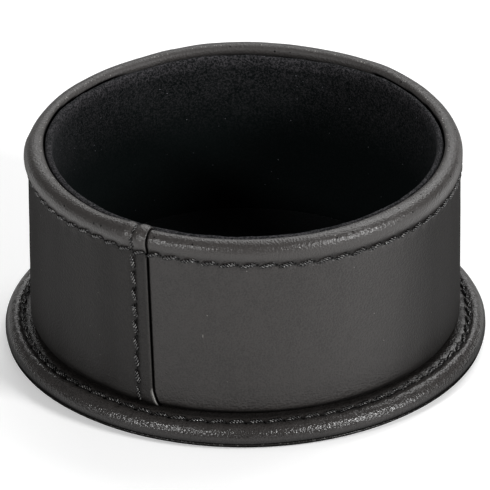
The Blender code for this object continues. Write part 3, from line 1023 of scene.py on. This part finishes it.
# The base: leather over a board disc with a padded, rolled edge
base = {
    "rowReach": 51.0,
    "holes": 78,
    "holeWave": 0.055,
    "holeSeed": 8,
    "rollRadius": 2.9,
    "seamAngle": 27,
    "groove": 0.22,
    "grooveWidth": 0.75,
    "crown": 0.09,
    "crownPlace": 1.7,
    "swell": 0.07,
    "flutter": 0.015,
    "pucker": 0.045,
    "tuck": 0.12,
    "steps": 640,
    "thickness": 0.5,
    "padding": 0.95,
    "plainReach": 44,
    "lean": 0.34,  # a stitch's first end lies this far outside the row's line
    "proud": 0.02,  # and its middle line this far above the leather
    "rings": (
        51.8, 51.6, 51.4, 51.2, 51.0, 50.8, 50.6, 50.4, 50.2, 50.0, 49.7, 49.4, 49.0, 48.4, 47.4, 46.0,
        43.0, 34.0, 18.0,
    ),
    "rowWander": (
        (-180, 0.1), (-100, 0), (-62, -0.1), (-41, -0.4), (-18, 0.5), (2, 0.3), (15, -0.1), (30, -0.1),
        (46, -0.5), (60, -0.1), (73, 0.5), (90, 0.0), (130, -0.2), (180, 0.1),
    ),
}
rollMiddle = baseRadius - base["rollRadius"]
rollLow = math.radians(-base["seamAngle"])
baseRound = turn * base["rowReach"]
baseHoles = spread(0.0, baseRound, base["holes"], base["holeWave"], base["holeSeed"])


def rollPoint(inset, angle):
    # reach and height of a place on the roll's outline, so far inside its full round
    size = base["rollRadius"] - inset
    return rollMiddle + size * math.cos(angle), base["rollRadius"] + size * math.sin(angle)


def nearest(along, holes):
    share = int(len(holes) * along / baseRound)
    return holes[max(share - 3, 0):share + 4]


def baseShape(angle, reach, height):
    # how far the leather stands off the plain rings: groove, puckers and the uneven roll
    across = base["rowReach"] + wander(angle, base["rowWander"]) - reach
    along = (angle % turn) * base["rowReach"]
    lift, hole = 0.0, 0.0
    if abs(across) < 3.0 and height > 4:
        dent, hole = rowDent(along, across, baseHoles)
        lift -= dent + base["groove"] * bell(across, base["grooveWidth"])
    lift += base["crown"] * bell(across + base["crownPlace"], 0.9) * (height > 4)
    x, y = math.sin(angle) * 50, math.cos(angle) * 50
    puff = ease(reach, base["rowReach"], base["rowReach"] + 1.5)
    swell = base["swell"] * ripple(x, y, height, 9.0, 2.2)
    lift += puff * (swell + base["flutter"] * ripple(x, y, height, 2.6, 5.2))
    # short drawn-in folds that start at the stitches and fade out on the roll
    beside = min(abs(along - hole) for hole in nearest(along, baseHoles))
    lift -= base["pucker"] * bell(beside, 0.6) * bell(across + 1.3, 1.0) * (height > 3)
    return lift, hole


def makeBaseCover():
    outline = [rollPoint(0.75, rollLow), rollPoint(0.3, rollLow - 0.02)]
    first = rollLow + 0.03
    for angle in steps(first, quarter, 18) + [quarter]:
        outline.append(rollPoint(base["tuck"] * (1 - ease(angle, rollLow, rollLow + 0.12)), angle))
    outline += [(reach, baseTop) for reach in base["rings"]]
    piece = drawRings("base_leather", outline, base["steps"], closeMiddle=True)
    holes = []
    for vertex in piece.data.vertices:
        x, y, z = vertex.co / mm
        reach = math.hypot(x, y)
        if reach < base["plainReach"]:
            holes.append(0.0)
            continue
        angle = angleAt(x, y)
        lift, hole = baseShape(angle, reach, z)
        way = Vector((0, 1))
        if reach > rollMiddle:
            way = Vector((reach - rollMiddle, z - base["rollRadius"])).normalized()
        vertex.co = roundPlace(reach + way.x * lift, angle, z + way.y * lift)
        holes.append(hole)
    mark(piece, hole=holes, worn=[0.0] * len(holes))
    faceMiddle(piece, 1)
    thicken(piece, base["thickness"])
    finishPiece(piece, baseLeather, "base_top_cover")


def baseEnds(side, height, wandering, way):
    # a row of the base's stitches, on its top (way 1) or under it (way -1)
    ends = []
    for first, last in zip(baseHoles, baseHoles[1:]):
        points = []
        for along, across in ((first + stitchHalf, side), (last - stitchHalf, -side)):
            angle = along / base["rowReach"]
            reach = base["rowReach"] + wander(angle, wandering) + across
            points.append(roundPlace(reach, angle, height))
        ends.append((*points[::way], Vector((0, 0, way))))
    return ends


# The underside's leather, its edge just proud of the cover's at a thin low seam
underside = {
    "proud": 0.14,
    "hem": 0.7,
    "steps": 320,
    "thickness": 0.5,
    "groove": 0.75,
    "grooveWidth": 0.55,
    "rowWidth": 2.0,
    "edgePaler": 0.03,
    "thread": 0.62,  # the lower thread lies in its groove, clear of the table
    "lean": -0.25,
    "rowWander": ((-180, 0), (180, 0)),
    "rings": (51.75, 51.5, 51.25, 51.0, 50.75, 50.5, 50.25, 50.0, 49.6, 49.0, 47.0, 42.0, 30.0, 14.0),
}


def makeUnderside():
    outline = [rollPoint(underside["hem"], rollLow - 0.05)]
    for index in range(6):
        bead = underside["proud"] * math.sin(math.pi * (index + 1) / 7)
        outline.append(rollPoint(-bead, rollLow - 0.03 - 0.03 * index))
    for angle in steps(rollLow - 0.24, -quarter, 6)[1:] + [-quarter]:
        outline.append(rollPoint(0, angle))
    outline += [(reach, 0.0) for reach in underside["rings"]]
    piece = drawRings("underside_leather", outline, underside["steps"], closeMiddle=True)
    holes, wearAndHighlights = [], []
    for vertex in piece.data.vertices:
        x, y, z = vertex.co / mm
        across = base["rowReach"] - math.hypot(x, y)
        hole = 0.0
        if abs(across) < underside["rowWidth"] and z < 0.4:
            along = (angleAt(x, y) % turn) * base["rowReach"]
            dent, hole = rowDent(along, -across, baseHoles)
            groove = underside["groove"] * bell(across, underside["grooveWidth"])
            vertex.co.z += (groove + max(dent, 0) * 0.5) * mm
        holes.append(hole)
        # its edge above the table is a little paler
        wearAndHighlights.append(underside["edgePaler"] if z > 0.5 else 0.0)
    mark(piece, hole=holes, worn=wearAndHighlights)
    faceMiddle(piece, -1)
    thicken(piece, underside["thickness"])
    finishPiece(piece, baseLeather, "base_underside_cover")


makeBaseCover()
topEnds = baseEnds(base["lean"], baseTop + base["proud"], base["rowWander"], 1)
sewRow("base_stitch_row", stitchMaster, topEnds, "base_stitching")
makeUnderside()
underEnds = baseEnds(underside["lean"], underside["thread"], underside["rowWander"], -1)
sewRow("base_under_stitch_row", stitchMaster, underEnds, "base_under_stitching")
bpy.data.objects.remove(stitchMaster)


# The velvet: the lining's tube, and a disc on the floor
def makeWallLining():
    inner, outer = lining["reach"], lining["outer"]
    middle = (inner + outer) / 2
    radius = (outer - inner) / 2
    top = liningTop + lining["proud"]
    outline = [(inner, height) for height in lining["rings"]]
    for angle in steps(turn / 2, 0, 12) + [0]:
        outline.append((middle + radius * math.cos(angle), top - radius + radius * math.sin(angle)))
    outline += [(outer, top - drop) for drop in lining["backRings"]]
    piece = drawRings("wall_velvet", outline, lining["steps"])
    wearAndHighlights = []
    for vertex in piece.data.vertices:
        x, y, z = vertex.co / mm
        reach = math.hypot(x, y)
        angle = angleAt(x, y)
        near = ease(z, 44.5, 47.2)
        wave = lining["uneven"] * ripple(x, y, z, 6.0, 0.4) + lining["ruffle"] * ripple(x, y, z, 1.6, 4.4)
        inwards = wave * (1 - near * 0.3) if reach < middle else min(0.0, 0.4 * wave)
        back = near * ease(reach, inner - 0.1, outer)
        inwards += lining["follow"] * wander(angle, leather["rimThin"]) * back
        size = (reach + inwards) / reach
        uneven = lining["edgeUneven"] * ripple(x, y, 0, 4.5, 9.1)
        down = near * (uneven + lining["edgeRuffle"] * ripple(x, y, 0, 1.3, 6.6))
        down += near * (velvetEdge(angle) - top)
        vertex.co = Vector((x * size, y * size, z + down)) * mm
        # the folded edge is paler where the pile is open, partly a painted highlight
        open = 0.5 + 0.9 * max(0, ripple(x, y, z, 1.1, 2.8))
        wearAndHighlights.append(ease(z - down, 44.6, 48.9) ** 1.6 * open)
    mark(piece, worn=wearAndHighlights)
    side = min(piece.data.polygons, key=lambda face: abs(face.center.z - 30 * mm))
    if side.normal.xy.dot(side.center.xy) > 0:
        turnOver(piece)
    thicken(piece, lining["thickness"])
    finishPiece(piece, velvet, "wall_lining")


floorVelvet = {
    "edge": ((43.3, 0.42), (43.6, 0.34), (43.75, 0.2), (43.72, 0.06)),  # reach, and depth below the top
    "rings": (43.3, 42.6, 42, 40, 36, 32, 28, 24, 20, 16, 12, 8, 4),
    "steps": 240,
    "thickness": 0.3,
    "swell": 0.10,
    "ruffle": 0.04,
    # a painted sheen on the floor's velvet
    "worn": 0.15,
}


def makeFloorLining():
    outline = [(reach, floorTop - depth) for reach, depth in floorVelvet["edge"]]
    outline += [(reach, floorTop) for reach in floorVelvet["rings"]]
    piece = drawRings("floor_velvet", outline, floorVelvet["steps"], closeMiddle=True)
    for vertex in piece.data.vertices:
        x, y, z = vertex.co / mm
        if z > floorTop - 0.1:
            z += floorVelvet["swell"] * ripple(x, y, 0, 11.0, 7.7)
            z += floorVelvet["ruffle"] * ripple(x, y, 0, 3.0, 3.3)
        vertex.co.z = min(z, floorTop + 0.1) * mm
    mark(piece, worn=[floorVelvet["worn"]] * len(piece.data.vertices))
    faceMiddle(piece, 1)
    thicken(piece, floorVelvet["thickness"])
    finishPiece(piece, velvet, "floor_lining")


makeWallLining()
makeFloorLining()


# Floor, light and camera
stage = {
    "paper": (0.90, 0.90, 0.90),
    "bounce": (0.52, 0.52, 0.52),
    "glow": 0.27,
    "size": 6.0,
    "below": 0.02 * mm,  # clear of the underside
}


def makeStage():
    clearSelection()
    place = (0, 0, -stage["below"])
    bpy.ops.mesh.primitive_circle_add(
        vertices=96, radius=stage["size"] / 2, fill_type="NGON", location=place)
    floor = bpy.context.object
    floor.name = "floor"
    finish = Finish("white paper")
    tooth = finish.clouds(finish.place(), 1.5, 3.0)
    paper = finish.tint(tooth, stage["paper"], tuple(0.985 * part for part in stage["paper"]))
    # the paper looks white but throws less light back up at the object
    rays = finish.add("LightPath")
    camera, glossy, through = [
        Wire(finish, rays.outputs[name])
        for name in ("Is Camera Ray", "Is Glossy Ray", "Is Transmission Ray")
    ]
    seen = camera.highest(glossy).highest(through)
    finish.set(Base_Color=finish.tint(seen, stage["bounce"], paper))
    finish.set(Emission_Color=finish.tint(seen, (0, 0, 0), (1, 1, 1)), Emission_Strength=stage["glow"])
    finish.set(Roughness=0.9, Specular_IOR_Level=0.2)
    floor.data.materials.append(finish.material)


lamps = (
    # name, place, aimed at, size, radiance
    ("key softbox", (1.20, -0.78, 0.68), (0, 0, 0.02), (0.40, 0.40), 44.0),
    ("front softbox", (-0.85, -1.04, 0.70), (0, 0, 0.02), (0.18, 0.18), 104.0),
    ("back softbox", (0.12, 1.20, 0.80), (0, 0, 0.03), (1.20, 0.55), 2.6),
    ("high softbox", (0.44, 0.66, 1.16), (0, 0, 0.02), (0.70, 0.70), 4.7),
)
roomLight = 0.14


def makeLight():
    for name, place, aim, size, radiance in lamps:
        clearSelection()
        bpy.ops.object.light_add(type="AREA", location=place)
        lamp = bpy.context.object
        lamp.name = name
        lamp.data.shape = "RECTANGLE"
        lamp.data.size, lamp.data.size_y = size
        lamp.data.energy = radiance * math.pi * size[0] * size[1]
        way = Vector(aim) - Vector(place)
        lamp.rotation_euler = way.to_track_quat("-Z", "Y").to_euler()
    world = bpy.data.worlds.new("white room")
    bpy.context.scene.world = world
    world.use_nodes = True
    background = world.node_tree.nodes["Background"]
    background.inputs["Color"].default_value = (1, 1, 1, 1)
    background.inputs["Strength"].default_value = roomLight


view = {
    "lens": 661.3,
    "sensor": 36,
    "distance": 2.0600,
    "elevation": 29.43,
    "tilt": 0.5507,
    "roll": -0.3614,
    "nearest": 0.05,
    "farthest": 20,
}


def swing(first, second, angle):
    # turns two directions at right angles in their own plane
    cosine, sine = math.cos(angle), math.sin(angle)
    return first * cosine + second * sine, second * cosine - first * sine


def makeCamera():
    clearSelection()
    elevation = math.radians(view["elevation"])
    forward = Vector((0, math.cos(elevation), -math.sin(elevation)))
    place = -view["distance"] * forward
    right = Vector((1, 0, 0))
    up = right.cross(forward)
    forward, up = swing(forward, up, math.radians(view["tilt"]))
    right, up = swing(right, up, math.radians(view["roll"]))
    bpy.ops.object.camera_add(location=place)
    camera = bpy.context.object
    camera.data.lens = view["lens"]
    camera.data.sensor_width = view["sensor"]
    camera.data.clip_start = view["nearest"]
    camera.data.clip_end = view["farthest"]
    turned = Matrix((right, up, -forward)).transposed().to_4x4()
    camera.matrix_world = Matrix.Translation(place) @ turned
    bpy.context.scene.camera = camera


makeStage()
makeLight()
makeCamera()
bpy.context.scene.view_settings.view_transform = "Standard"
print("stage, light and camera are set")

clearSelection()
